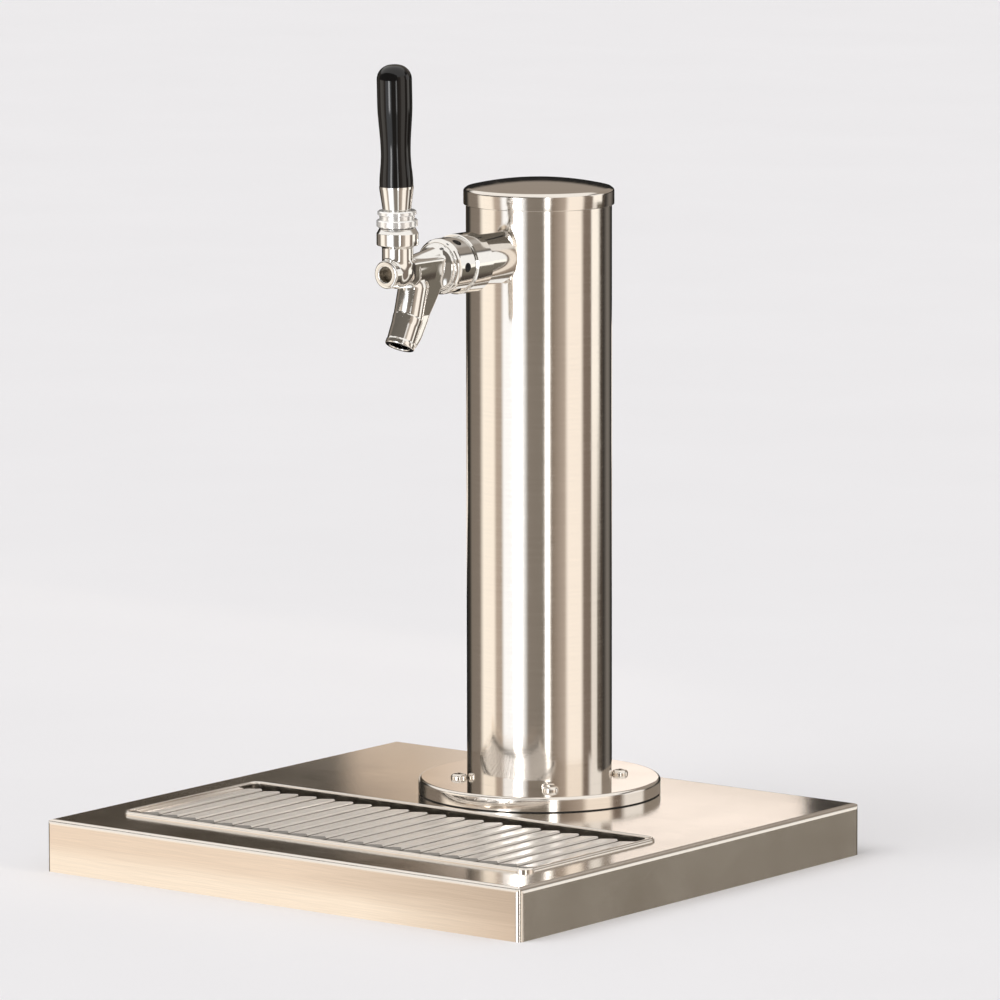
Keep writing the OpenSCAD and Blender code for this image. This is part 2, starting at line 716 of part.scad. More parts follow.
module faucet_body() color("#dedcd8") difference() {
  body_mass();
  along_body() rotate_extrude() polygon([[0, -eps], [chamber_r, -eps], [chamber_r, seat_w - seat_run],
    [flow_r, seat_w], [flow_r, guide_w], [guide_r, guide_w], [guide_r, body_l + eps], [0, body_l + eps]]);
  along_spout(0) cylinder(h = throat_l + eps, r = throat_r);
  along_spout(throat_l) cylinder(h = spout_l, d = spout_bore);
  at_lever(pivot_h - socket_deep) cylinder(h = neck_top, r = socket_r);
  at_lever(well_z) cylinder(h = neck_top, r = well_r);
  translate([-port_w/2, lever_y - port_front, tap_z]) cube([port_w, port_front + port_back, port_h]);
}

module bonnet() color("#e2e0dc") at_lever() rotate_extrude() polygon(concat(
  [[neck_r + thread_gap, bonnet_foot], [bonnet_r - bevel, bonnet_foot], [bonnet_r, bonnet_foot + bevel]],
  [[bonnet_r, pivot_h + bonnet_h]],
  arc([0, pivot_h], dome_r, acos(dome_edge_r/dome_r), acos(dome_hole_r/dome_r), 3),
  [[throat_top_r, bonnet_ceiling], [neck_r + thread_gap, bonnet_ceiling]]));

module friction_washer() color("#e9e6de") at_lever() rotate_extrude()
  polygon([[washer_hole_r, neck_top], [washer_r, neck_top], [washer_r, bonnet_ceiling],
    [throat_top_r, bonnet_ceiling]]);

module ball_seat() color("#e9e6de") difference() {
  at_lever(pivot_h - socket_deep) cylinder(h = seat_t, r = socket_r - thread_gap);
  at_lever(pivot_h) sphere(ball_r + ball_gap);
}

module lever() color("#d6d3ce") {
  on_lever(pivot_h) sphere(ball_r);
  on_lever(pivot_h) cylinder(h = grip_collar_top - pivot_h, r = stem_r);
  on_lever(pivot_h + cup_r) cylinder(h = stud_top - pivot_h - cup_r, r = stud_r);
  on_lever() cylinder(h = pivot_h, r = finger_r);
  on_lever() sphere(tip_r);
}

module lever_collar() color("#e2e0dc") difference() {
  on_lever() rotate_extrude() polygon([[stud_r + thread_gap, pivot_h], [cup_edge_r, pivot_h],
    [cup_edge_r, cup_edge_z - bevel/2], [grip_collar_r - bevel, cup_edge_z],
    [grip_collar_r, cup_edge_z + bevel], [grip_collar_r, groove_z - bevel],
    [grip_collar_r - bevel, groove_z], [groove_r, groove_z],
    [groove_r, groove_z + groove_l], [neck_ring_r, groove_z + groove_l + bevel],
    [neck_ring_r, grip_collar_top - bevel], [neck_ring_r - bevel, grip_collar_top],
    [stud_r + thread_gap, grip_collar_top]]);
  on_lever(pivot_h) sphere(cup_r);
}

module handle_ferrule() color("#d9d7d2") on_lever(grip_collar_top) rotate_extrude()
  polygon([[stud_r + thread_gap, 0], [ferrule_d/2 - bevel, 0], [ferrule_d/2, bevel],
    [ferrule_top_r, ferrule_l - 2*bevel], [ferrule_top_r, ferrule_l], [stud_r + thread_gap, ferrule_l]]);

module tap_handle() color("#101012") difference() {
  on_lever(ferrule_top) rotate_extrude() polygon(concat([[0, 0]],
    [for (t = [0:0.1:1]) [ease(foot_d, waist_d, t)/2, waist_at*t]],
    [for (t = [0.1:0.1:1]) [ease(waist_d, handle_d, t)/2, waist_at + (swell_at - waist_at)*t]],
    arc([tip_flat, handle_l - tip_round], tip_round, 0, 90, 10), [[0, handle_l]]));
  on_lever(ferrule_top - eps) cylinder(h = stud_grip + eps + stud_end_gap, r = stud_r + thread_gap);
}

module faucet_shaft() color("#cfcac2") difference() {
  union() {
    along_body() translate([0, 0, shaft_back]) cylinder(h = piston_w - shaft_back + 1, r = shaft_r);
    along_body() translate([0, 0, piston_w]) cylinder(h = piston_front - piston_w, r = piston_r);
  }
  translate([-slot_w/2, lever_y - slot_l/2, tap_z - slot_below])
    cube([slot_w, slot_l, slot_below + 2*piston_r]);
}

module shaft_seal() color("#1d1d1d") along_body() rotate_extrude()
  polygon([[shaft_r + thread_gap, seat_w - seal_l - seal_gap], [seal_r, seat_w - seal_l - seal_gap],
    [seal_r, seat_w - seat_run], [shaft_r + thread_gap, seat_w - seal_gap]]);

module shaft_nut() color("#c8a45a") along_body() translate([0, 0, shaft_back]) difference() {
  hex(shaft_nut_af, shaft_nut_t);
  translate([0, 0, -eps]) cylinder(h = shaft_nut_t + 2*eps, r = shaft_r + thread_gap);
}

deck_shell();
drip_pan();
grate_slats();
grate_rails();
flange_nuts();
tower_gasket();
base_flange();
flange_screws();
tower_column();
line_insulation();
tower_cap();
cap_plug();
cap_seal();
shank_saddle();
shank_collar();
shank();
shank_washer();
shank_nut();
tailpiece_washer();
tailpiece();
tailpiece_nut();
beer_line();
hose_clamps();
line_fitting();
coupling_nut();
coupling_washer();
faucet_body();
bonnet();
friction_washer();
ball_seat();
lever();
lever_collar();
handle_ferrule();
tap_handle();
faucet_shaft();
shaft_seal();
shaft_nut();
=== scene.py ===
"""Looks of the draft beer dispenser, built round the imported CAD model. Metres, +Z up, the faucet points to -Y."""
import json
import math

import bpy
import numpy as np
from mathutils import Matrix, Vector


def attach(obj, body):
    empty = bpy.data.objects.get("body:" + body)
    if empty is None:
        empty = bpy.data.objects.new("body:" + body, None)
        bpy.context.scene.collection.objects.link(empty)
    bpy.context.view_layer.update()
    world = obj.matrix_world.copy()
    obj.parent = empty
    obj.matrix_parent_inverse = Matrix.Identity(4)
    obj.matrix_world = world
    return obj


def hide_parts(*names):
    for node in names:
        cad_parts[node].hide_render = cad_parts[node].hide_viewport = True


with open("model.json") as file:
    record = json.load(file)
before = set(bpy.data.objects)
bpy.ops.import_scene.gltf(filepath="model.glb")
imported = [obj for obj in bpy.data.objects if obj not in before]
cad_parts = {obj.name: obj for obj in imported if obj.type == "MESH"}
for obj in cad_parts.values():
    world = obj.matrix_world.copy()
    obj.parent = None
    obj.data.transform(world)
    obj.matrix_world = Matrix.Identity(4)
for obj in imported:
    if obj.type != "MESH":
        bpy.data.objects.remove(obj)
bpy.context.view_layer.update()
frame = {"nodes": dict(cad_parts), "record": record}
nodes = frame["nodes"]
scene = bpy.context.scene

MM = 0.001
TOWER_Y = 0.074
DECK_TOP = 0.028
TAP_Z = 0.3205
LEVER_Y = -0.0474
PIVOT_Z = 0.3352
LEVER_LEAN = math.radians(1.5)


# Shader nodes

def new_material(name):
    mat = bpy.data.materials.new(name)
    mat.use_nodes = True
    tree = mat.node_tree
    return mat, tree, tree.nodes["Principled BSDF"]


def add(tree, kind, **values):
    node = tree.nodes.new(kind)
    for key, value in values.items():
        if hasattr(node, key):
            setattr(node, key, value)
        else:
            node.inputs[key].default_value = value
    return node


def noise_at(tree, stretch, detail=3.0, roughness=0.55):
    """Noise in the part's own coordinates, in cycles a metre along x, y and z."""
    coords = add(tree, "ShaderNodeTexCoord")
    mapping = add(tree, "ShaderNodeMapping", Scale=stretch)
    noise = add(tree, "ShaderNodeTexNoise", Scale=1.0, Detail=detail, Roughness=roughness)
    tree.links.new(coords.outputs["Object"], mapping.inputs["Vector"])
    tree.links.new(mapping.outputs["Vector"], noise.inputs["Vector"])
    return noise.outputs["Fac"]


def ramp(tree, fac, stops):
    node = add(tree, "ShaderNodeValToRGB")
    band = node.color_ramp
    while len(band.elements) < len(stops):
        band.elements.new(0.5)
    for element, (place, colour) in zip(band.elements, stops):
        element.position = place
        element.color = (*colour, 1.0)
    tree.links.new(fac, node.inputs["Fac"])
    return node.outputs["Color"]


def ease_over(tree, value, low, high, to_low=0.0, to_high=1.0):
    """Value between low and high, brought to the range from to_low to to_high."""
    node = add(tree, "ShaderNodeMapRange",
               **{"From Min": low, "From Max": high, "To Min": to_low, "To Max": to_high})
    tree.links.new(value, node.inputs["Value"])
    return node.outputs["Result"]


def calc(tree, operation, *terms):
    """Math node's result for terms that are numbers or value outputs."""
    node = add(tree, "ShaderNodeMath", operation=operation)
    for socket, term in zip(node.inputs, terms):
        if isinstance(term, float):
            socket.default_value = term
        else:
            tree.links.new(term, socket)
    return node.outputs["Value"]


def mixed(tree, fac, low, high, blend="MIX"):
    """Mix of two colours or colour outputs."""
    node = add(tree, "ShaderNodeMix", data_type="RGBA", blend_type=blend)
    tree.links.new(fac, node.inputs[0])
    for socket, colour in ((node.inputs[6], low), (node.inputs[7], high)):
        if isinstance(colour, tuple):
            socket.default_value = (*colour, 1.0)
        else:
            tree.links.new(colour, socket)
    return node.outputs[2]


# Materials

NOISE_LOW, NOISE_HIGH = 0.3, 0.7


def scaled(colour, k):
    return tuple(min(1.0, c*k) for c in colour)


def metal(name, colour, rough, grain, tint=0.05, swing=0.04, bump=0.02, smudge=22.0, shine=1.0):
    """Metal with a grain drawn out by the three stretches, and faint smudges in its gloss."""
    mat, tree, bsdf = new_material(name)
    bsdf.inputs["Metallic"].default_value = shine
    lines = noise_at(tree, grain)
    clouds = noise_at(tree, (smudge,)*3, detail=4.0)
    tree.links.new(ramp(tree, lines, [(0.25, scaled(colour, 1 - tint)), (0.75, scaled(colour, 1 + tint))]),
                   bsdf.inputs["Base Color"])
    brushed = ease_over(tree, lines, NOISE_LOW, NOISE_HIGH, rough - swing, rough + swing)
    smudged = ease_over(tree, clouds, NOISE_LOW, NOISE_HIGH, 0.0, swing)
    tree.links.new(calc(tree, "ADD", brushed, smudged), bsdf.inputs["Roughness"])
    relief = add(tree, "ShaderNodeBump", Strength=bump, Distance=0.0004)
    tree.links.new(lines, relief.inputs["Height"])
    tree.links.new(relief.outputs["Normal"], bsdf.inputs["Normal"])
    return mat


def plain(name, colour, rough, grain, tint=0.12, swing=0.06, bump=0.05):
    """Rubber, plastic and foam: mottled colour, uneven gloss and a fine moulded texture."""
    mat, tree, bsdf = new_material(name)
    fine = noise_at(tree, (grain,)*3)
    clouds = noise_at(tree, (grain/30,)*3, detail=2.0)
    mottled = [(NOISE_LOW, scaled(colour, 1 - tint)), (NOISE_HIGH, scaled(colour, 1 + tint))]
    tree.links.new(ramp(tree, clouds, mottled), bsdf.inputs["Base Color"])
    tree.links.new(ease_over(tree, fine, NOISE_LOW, NOISE_HIGH, rough - swing, rough + swing),
                   bsdf.inputs["Roughness"])
    relief = add(tree, "ShaderNodeBump", Strength=bump, Distance=0.0002)
    tree.links.new(fine, relief.inputs["Height"])
    tree.links.new(relief.outputs["Normal"], bsdf.inputs["Normal"])
    return mat


STEEL = (0.83, 0.785, 0.735)
CHROME = (0.86, 0.85, 0.83)
looks = {
    "stainless": metal("brushed_stainless", STEEL, 0.115, (35, 2600, 2600), bump=0.03),
    "polished_steel": metal("polished_stainless", STEEL, 0.07, (40, 40, 2400), tint=0.03, bump=0.01),
    "chrome": metal("chrome_plate", CHROME, 0.06, (500,)*3, tint=0.02, swing=0.025, bump=0.006),
    "plain_steel": metal("machined_steel", (0.60, 0.57, 0.53), 0.28, (900,)*3, tint=0.08),
    "brass": metal("machined_brass", (0.76, 0.55, 0.25), 0.24, (800,)*3, tint=0.08),
    "rubber": plain("black_rubber", (0.022, 0.021, 0.020), 0.62, 3000),
    "black_plastic": plain("gloss_black_plastic", (0.003, 0.003, 0.0035), 0.08, 1500, swing=0.02, bump=0.006),
    "plug_plastic": plain("matt_black_plastic", (0.04, 0.04, 0.04), 0.5, 2500),
    "nylon": plain("natural_nylon", (0.78, 0.76, 0.69), 0.4, 2500, tint=0.05),
    "vinyl": plain("clear_vinyl_line", (0.78, 0.75, 0.66), 0.22, 1200, tint=0.05),
    "foam": plain("closed_cell_foam", (0.05, 0.05, 0.05), 0.85, 1100, bump=0.3),
}
own_looks = {
    "lever_collar": metal("bright_nickel", (0.95, 0.945, 0.93), 0.12, (400,)*3, tint=0.02, swing=0.03, bump=0.004,
                          shine=0.6),
    "faucet_shaft": metal("dark_shaft_steel", (0.20, 0.17, 0.13), 0.3, (900,)*3, tint=0.1),
}
for part in frame["record"]["subparts"]:
    mesh = nodes[part["node"]].data
    mesh.materials.clear()
    mesh.materials.append(own_looks.get(part["node"], looks[part["material_slot"]]))


# Pieces

SHARP = math.radians(40)


def placed(name, mesh, body, slot, *stood_for):
    """Object of a finished mesh, in its slot's finish, that moves with a body and stands for CAD nodes."""
    mesh.materials.append(looks[slot])
    obj = bpy.data.objects.new(name, mesh)
    scene.collection.objects.link(obj)
    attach(obj, body)
    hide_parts(*stood_for)
    return obj


def piece(name, verts, faces, body, slot, *stood_for):
    mesh = bpy.data.meshes.new(name)
    mesh.from_pydata(verts, [], faces)
    mesh.update()
    mesh.shade_smooth()
    mesh.set_sharp_from_angle(angle=SHARP)
    return placed(name, mesh, body, slot, *stood_for)


def lathe(profile, place, turns=144):
    """Closed profile of (radius, height) pairs in millimetres, turned about the z axis of place."""
    verts, rings = [], []
    for r, z in profile:
        count = turns if r > 1e-6 else 1
        rings.append(list(range(len(verts), len(verts) + count)))
        for i in range(count):
            a = 2*math.pi*i/turns
            verts.append(place @ Vector((r*math.cos(a)*MM, r*math.sin(a)*MM, z*MM)))
    faces = []
    for low, high in zip(rings, rings[1:] + rings[:1]):
        if len(low) == 1 and len(high) == 1:
            continue
        for i in range(turns):
            j = (i + 1) % turns
            corners = [low[i % len(low)], low[j % len(low)], high[j % len(high)], high[i % len(high)]]
            faces.append(list(dict.fromkeys(corners)))
    return verts, faces


def arc(r0, z0, radius, a0, a1, n=16):
    out = []
    for i in range(n + 1):
        a = math.radians(a0 + (a1 - a0)*i/n)
        out.append((r0 + radius*math.cos(a), z0 + radius*math.sin(a)))
    return out


def eased(r0, r1, z0, z1, n=24):
    return [(r0 + (r1 - r0)*(1 - math.cos(math.pi*i/n))/2, z0 + (z1 - z0)*i/n) for i in range(n + 1)]


# Handle
LEVER = Matrix.Translation((0, LEVER_Y, PIVOT_Z)) @ Matrix.Rotation(LEVER_LEAN, 4, "X")
FERRULE_TOP = 31.0
HANDLE_L, FOOT_R, WAIST_R, SWELL_R, SOCKET_R, SOCKET_L = 63.6, 8.85, 7.8, 9.2, 4.75, 14.3
WAIST_AT, SWELL_AT = HANDLE_L*0.27, HANDLE_L*0.7
FOOT_EDGE, TIP_R, TIP_FLAT = 0.35, 7.7, 1.5
handle = ([(SOCKET_R, SOCKET_L), (SOCKET_R, 0.0)] + arc(FOOT_R - FOOT_EDGE, FOOT_EDGE, FOOT_EDGE, -90, 0, 6)
          + eased(FOOT_R, WAIST_R, 0.5, WAIST_AT)[1:] + eased(WAIST_R, SWELL_R, WAIST_AT, SWELL_AT, 36)[1:]
          + arc(TIP_FLAT, HANDLE_L - TIP_R, TIP_R, 0, 90, 28) + [(0.0, HANDLE_L), (0.0, SOCKET_L)])
piece("handle_grip", *lathe(handle, LEVER @ Matrix.Translation((0, 0, FERRULE_TOP*MM))),
      "tap_lever", "black_plastic", "tap_handle")

# Tower cap
CAP_Z, CAP_R, CAP_T, CAP_EDGE, CAP_SKIRT, CAP_DOME, SKIRT_IN = 354.7, 40.3, 1.5, 1.6, 8.6, 5.0, 39.25
CAP_HEM, CAP_SEAT_R = 0.4, 32.45
ball = (CAP_R**2 + CAP_DOME**2)/(2*CAP_DOME)
half = math.degrees(math.asin((CAP_R - CAP_EDGE)/ball))
cap = ([(SKIRT_IN, -CAP_SKIRT), (CAP_R - CAP_HEM, -CAP_SKIRT)]
       + arc(CAP_R - CAP_HEM, -CAP_SKIRT + CAP_HEM, CAP_HEM, -90, 0, 5)
       + arc(CAP_R - CAP_EDGE, -CAP_EDGE, CAP_EDGE, 0, 62, 10)
       + arc(0, CAP_DOME - ball, ball, 90 - half, 89.5, 40)
       + [(0.0, CAP_DOME), (0.0, CAP_DOME - CAP_T)]
       + arc(0, CAP_DOME - CAP_T - ball, ball, 89.5, 90 - half*0.78, 20)
       + [(CAP_SEAT_R, -CAP_T), (SKIRT_IN, -CAP_T)])
piece("cap_dome", *lathe(cap, Matrix.Translation((0, TOWER_Y, CAP_Z*MM)), 192), "cap", "polished_steel", "tower_cap")

# Bonnet
BONNET_R, BONNET_H, DOME_R, EDGE_R, HOLE_R, NECK_CLEAR = 11.0, 6.5, 13.0, 9.6, 8.9, 9.45
BONNET_FOOT, BONNET_EDGE, SHELF_R, SHELF_H = 0.6, 0.35, 6.95, 5.8
rise0, rise1 = (math.degrees(math.acos(r/DOME_R)) for r in (EDGE_R, HOLE_R))
bonnet = ([(NECK_CLEAR, -0.1)] + arc(BONNET_R - BONNET_FOOT, 0.5, BONNET_FOOT, -90, 0, 6)
          + arc(BONNET_R - BONNET_EDGE, BONNET_H - BONNET_EDGE, BONNET_EDGE, 0, 60, 5)
          + arc(0, 0, DOME_R, rise0, rise1, 4) + [(SHELF_R, SHELF_H), (NECK_CLEAR, SHELF_H)])
piece("bonnet_ring", *lathe(bonnet, Matrix.Translation((0, LEVER_Y, PIVOT_Z))), "base", "chrome", "bonnet")

# Grate: tilted slats with a faint crown, as long as the CAD slats
SLATS, SLAT_PITCH, SLAT_W, SLAT_T, SLAT_TILT, SLAT_Z = 21, 12.6, 12.3, 1.6, math.radians(6), 26.694
SLAT_EDGE, SLAT_FOOT, CROWN, CROWN_AT = 0.9, 0.7, 0.07, 6.0
rim = SLAT_W/2 - SLAT_EDGE
crown = [(u, SLAT_T - CROWN*(u/CROWN_AT)**2) for u in np.linspace(rim, -rim, 15)]
edge = arc(rim, crown[0][1] - SLAT_EDGE, SLAT_EDGE, -20, 80, 8)
foot = SLAT_W/2 - SLAT_FOOT
section = [(foot, 0.0)] + edge + crown + [(-u, v) for u, v in reversed(edge)] + [(-foot, 0.0)]
reach = [v.co.y for v in nodes["grate_slats"].data.vertices]
verts, faces = [], []
for i in range(SLATS):
    middle = (i - (SLATS - 1)/2)*SLAT_PITCH
    rings = []
    for y in (min(reach), max(reach)):
        rings.append(list(range(len(verts), len(verts) + len(section))))
        for u, v in section:
            verts.append(((middle + u*math.cos(SLAT_TILT) - v*math.sin(SLAT_TILT))*MM, y,
                          (SLAT_Z + u*math.sin(SLAT_TILT) + v*math.cos(SLAT_TILT))*MM))
    near, far = rings
    faces += [near, far[::-1]]
    faces += [[a, c, d, b] for a, b, c, d in zip(near, near[1:] + near[:1], far, far[1:] + far[:1])]
grate = piece("grate_blades", verts, faces, "grate", "polished_steel", "grate_slats")
grate.data.materials[0] = metal("satin_slats", STEEL, 0.2, (2400, 40, 2400), tint=0.03, bump=0.01, shine=0.5)

# Coupling washer, whose black rubber lip closes the nut's spanner holes from inside: a dark lining that paints the
# shade inside the holes
TAP = Matrix.Translation((0, TOWER_Y, TAP_Z)) @ Matrix.Rotation(math.radians(90), 4, "X")
WASHER_AT, WASHER_T, WASHER_IN = 79.7, 1.5, 5.6
LIP_IN, LIP_R, LIP_BACK, LIP_FRONT_IN, LIP_FRONT = 12.4, 12.85, 3.3, 11.7, 3.3
lip_end = WASHER_T + LIP_FRONT
washer = [(WASHER_IN, 0.0), (LIP_IN, 0.0), (LIP_IN, -LIP_BACK), (LIP_R, -LIP_BACK), (LIP_R, lip_end - 0.4),
          (LIP_R - 0.3, lip_end), (LIP_FRONT_IN, lip_end), (LIP_FRONT_IN, WASHER_T), (WASHER_IN, WASHER_T)]
piece("washer_with_shade_lining", *lathe(washer, TAP @ Matrix.Translation((0, 0, WASHER_AT*MM))),
      "base", "rubber", "coupling_washer")


# Faucet body: one casting with blended joints, shaped by a distance field in millimetres, where x runs across,
# w forward from the rear face and h up from the barrel's axis

REAR_Y = -7.2
AXIS_H = TAP_Z/MM
LEVER_W, NOSE_W, SPOUT_W = 40.2, 50.7, 19.0
LEAN = math.radians(27.0)
SPOUT_L, THROAT_L = 44.0, 12.0
NECK_TOP, SOCKET_FLOOR = 18.0, 4.5


def soft_min(a, b, k):
    h = np.maximum(k - np.abs(a - b), 0)/k
    return np.minimum(a, b) - h*h*k*0.25


def soft_max(a, b, k):
    return -soft_min(-a, -b, k)


def polygon_distance(px, py, corners):
    best = np.full_like(px, 1e9)
    inside = np.zeros(px.shape, bool)
    for (ax, ay), (bx, by) in zip(corners, corners[1:] + corners[:1]):
        ex, ey = bx - ax, by - ay
        t = np.clip(((px - ax)*ex + (py - ay)*ey)/(ex*ex + ey*ey), 0, 1)
        best = np.minimum(best, np.hypot(px - ax - t*ex, py - ay - t*ey))
        crosses = (ay > py) != (by > py)
        inside ^= crosses & (px < ax + (py - ay)*ex/(ey if abs(ey) > 1e-9 else 1e-9))
    return np.where(inside, -best, best)


def beside_spout(s, back):
    """Point at s down the spout's axis and back behind it, as w and h."""
    return (SPOUT_W + s*math.sin(LEAN) - back*math.cos(LEAN), -s*math.cos(LEAN) - back*math.sin(LEAN))


BARREL = [(-1, 11.5), (3.5, 11.5), (3.8, 12.9), (7.5, 12.9), (8.0, 12.4)]
BARREL += [(w, r) for r, w in eased(12.4, 7.9, 8.0, 12.7)][1:] + [(17, 7.2), (36.7, 7.2), (38.7, 7.5), (60, 7.5)]
RIDGE_W, RIDGE_H, RIDGE_R, RIDGE_L = 8.0, 3.5, 7.5, 22.0
NECK = [(-10, 8.2), (13.4, 8.2), (14.6, 9.4), (20, 9.4)]
SHOULDER, SHOULDER_R, KNEE, KNEE_R = (11.8, 3.3), 7.9, 28.0, 7.85
SPOUT = [(KNEE, KNEE_R), (40.7, 7.6), (41.5, 7.9), (43.4, 7.9), (46, 7.9)]
WEB_TOP, WEB_HALF, WEB_THIN, WEB_LEAST = 6.0, 7.4, 0.19, 2.8
WEB = [(LEVER_W, WEB_TOP), (6.5, WEB_TOP), (6.5, -3.0)]
WEB += [beside_spout(s, back) for s, back in ((4.5, 13.7), (14.5, 14.1), (24.0, 14.1), (34.6, 13.0), (40.4, 11.0))]
WEB += [beside_spout(40.4, 0), beside_spout(KNEE, 0), (31.3, -9.0), (36.2, -6.0)]
BORE = [(-5, 6.6), (13.9, 6.6), (15.5, 4.8), (24.6, 4.8), (24.8, 4.13), (60, 4.13)]
THROAT = [(0, 4.5), (THROAT_L - 0.1, 4.5), (THROAT_L, 5.5), (60, 5.5)]
SOCKET = [(0, 6.0), (9.9, 6.0), (10.0, 7.3), (30, 7.3)]
PORT_LOW, PORT_HIGH = np.array([-3.0, 33.4, 0.0]), np.array([3.0, 43.4, 5.5])
FIELD_LOW, FIELD_HIGH = (-17, -2, -48), (17, 54, 21)
FINE, COARSE = 0.42, 0.8


def along(profile, at):
    places, radii = zip(*profile)
    return np.interp(at, places, radii)


def body_field(p):
    """Distance to the casting's surface, negative inside it. The last number of each soft_ call is its blend."""
    x, w, h = p[:, 0], p[:, 1], p[:, 2]
    radius = np.hypot(x, h)
    barrel = soft_max(soft_max(radius - along(BARREL, w), w - NOSE_W, 1.4), -w, 0.4)
    across = np.hypot(x, w - LEVER_W)
    neck = np.maximum(np.where(h < 0, np.hypot(across, h), across) - along(NECK, h), h - NECK_TOP)
    s = (w - SPOUT_W)*math.sin(LEAN) - h*math.cos(LEAN)
    t = (w - SPOUT_W)*math.cos(LEAN) + h*math.sin(LEAN)
    round_spout = np.hypot(x, t)
    ds, dt = KNEE - SHOULDER[0], -SHOULDER[1]
    part = np.clip(((s - SHOULDER[0])*ds + (t - SHOULDER[1])*dt)/(ds*ds + dt*dt), 0, 1)
    off = np.sqrt(x*x + (s - SHOULDER[0] - part*ds)**2 + (t - SHOULDER[1] - part*dt)**2)
    upper = off - SHOULDER_R - (KNEE_R - SHOULDER_R)*part
    lower = np.maximum(round_spout - along(SPOUT, s), KNEE - s)
    spout = soft_max(soft_min(upper, lower, 1.0), s - SPOUT_L, 0.8)
    flank = np.abs(x) - np.maximum(WEB_HALF + WEB_THIN*h, WEB_LEAST)
    web = soft_max(polygon_distance(w, h, WEB), flank, 2.0)
    slope = math.hypot(RIDGE_L, RIDGE_H)
    run = ((w - RIDGE_W)*RIDGE_L - (h - RIDGE_H)*RIDGE_H)/slope
    above = ((w - RIDGE_W)*RIDGE_H + (h - RIDGE_H)*RIDGE_L)/slope
    ridge = np.maximum(np.hypot(x, above) - RIDGE_R, np.maximum(-run, run - RIDGE_L))
    barrel = soft_min(barrel, ridge, 1.5)
    whole = soft_min(soft_min(barrel, web, 1.2), neck, 1.6)
    whole = soft_min(whole, spout, 1.0)
    bore = radius - along(BORE, w)
    throat = np.maximum(round_spout - along(THROAT, s), -s)
    socket = np.maximum(across - along(SOCKET, h), SOCKET_FLOOR - h)
    port = np.maximum(PORT_LOW - p, p - PORT_HIGH).max(1)
    hollow = np.minimum(np.minimum(bore, throat), np.minimum(socket, port))
    return soft_max(whole, -hollow, 0.7)


def surface_net(low, high, step):
    """Closed mesh of quads, with a vertex in each grid cell that the field's zero surface passes through."""
    axes = [np.arange(a, b, step) for a, b in zip(low, high)]
    grid = np.stack(np.meshgrid(*axes, indexing="ij"), -1)
    inside = (body_field(grid.reshape(-1, 3)) < 0).reshape(grid.shape[:3])
    ends = (slice(None, -1), slice(1, None))
    filled = sum(inside[a, b, c].astype(int) for a in ends for b in ends for c in ends)
    cut = (filled > 0) & (filled < 8)
    index = np.full(cut.shape, -1)
    index[cut] = np.arange(cut.sum())
    faces = []
    for axis in range(3):
        order = (axis, (axis + 1) % 3, (axis + 2) % 3)
        signs, ids = inside.transpose(order)[:, 1:-1, 1:-1], index.transpose(order)
        quads = np.stack([ids[:, :-1, :-1], ids[:, :-1, 1:], ids[:, 1:, 1:], ids[:, 1:, :-1]], -1)
        faces += [quads[signs[:-1] & ~signs[1:]], quads[~signs[:-1] & signs[1:]][:, ::-1]]
    return grid[:-1, :-1, :-1][cut] + step/2, np.concatenate(faces)


def onto_field(p, ends, steps=12, settle=4, probe=0.02, longest=0.6):
    """Moves points onto the zero surface of the field, evens their spacing on the way, and gives their normals."""
    a, b = ends.T
    degree = np.bincount(ends.ravel(), minlength=len(p))[:, None]
    shift = np.eye(3)*probe
    for step in range(steps):
        slope = np.stack([(body_field(p + d) - body_field(p - d))/(2*probe) for d in shift], 1)
        size = np.maximum((slope**2).sum(1), 0.05)
        move = slope*(body_field(p)/size)[:, None]
        length = np.linalg.norm(move, axis=1, keepdims=True)
        p = p - move*np.minimum(1, longest/np.maximum(length, 1e-9))
        unit = slope/np.sqrt(size)[:, None]
        if step < steps - settle:
            mean = np.zeros_like(p)
            np.add.at(mean, a, p[b])
            np.add.at(mean, b, p[a])
            drift = mean/degree - p
            p = p + 0.5*(drift - unit*(drift*unit).sum(1, keepdims=True))
    return p, unit


points, quads = surface_net(FIELD_LOW, FIELD_HIGH, FINE)
casting = bpy.data.meshes.new("faucet_casting")
casting.from_pydata(points.tolist(), [], quads.tolist())
ends = np.empty(len(casting.edges)*2, int)
casting.edges.foreach_get("vertices", ends)
points, normals = onto_field(points, ends.reshape(-1, 2))
x, w, h = points.T
casting.vertices.foreach_set("co", (np.stack([x, REAR_Y - w, h + AXIS_H], 1)*MM).ravel())
casting.update()
casting.shade_smooth()
casting.normals_split_custom_set_from_vertices((normals*(1, -1, 1)).tolist())
placed("faucet_casting", casting, "base", "chrome", "faucet_body")


# Stage: floor and reflectors

def sheet(name, corners, mat):
    mesh = bpy.data.meshes.new(name)
    mesh.from_pydata(corners, [], [tuple(range(len(corners)))])
    mesh.materials.append(mat)
    obj = bpy.data.objects.new(name, mesh)
    scene.collection.objects.link(obj)
    return obj


def reflector_at(name):
    """Glowing material, its tree and colour socket, and the place on it."""
    mat = bpy.data.materials.new(name)
    mat.use_nodes = True
    tree = mat.node_tree
    tree.nodes.clear()
    out = add(tree, "ShaderNodeOutputMaterial")
    emission = add(tree, "ShaderNodeEmission", Strength=1.0)
    tree.links.new(emission.outputs["Emission"], out.inputs["Surface"])
    place = add(tree, "ShaderNodeSeparateXYZ")
    tree.links.new(add(tree, "ShaderNodeTexCoord").outputs["Object"], place.inputs["Vector"])
    return mat, tree, emission.inputs["Color"], place.outputs


def card(name, y, outline, mat):
    """Upright sheet that only reflections show."""
    obj = sheet(name, [(x, y, z) for x, z in outline], mat)
    for ray in ("camera", "diffuse", "shadow", "transmission", "volume_scatter"):
        setattr(obj, "visible_" + ray, False)


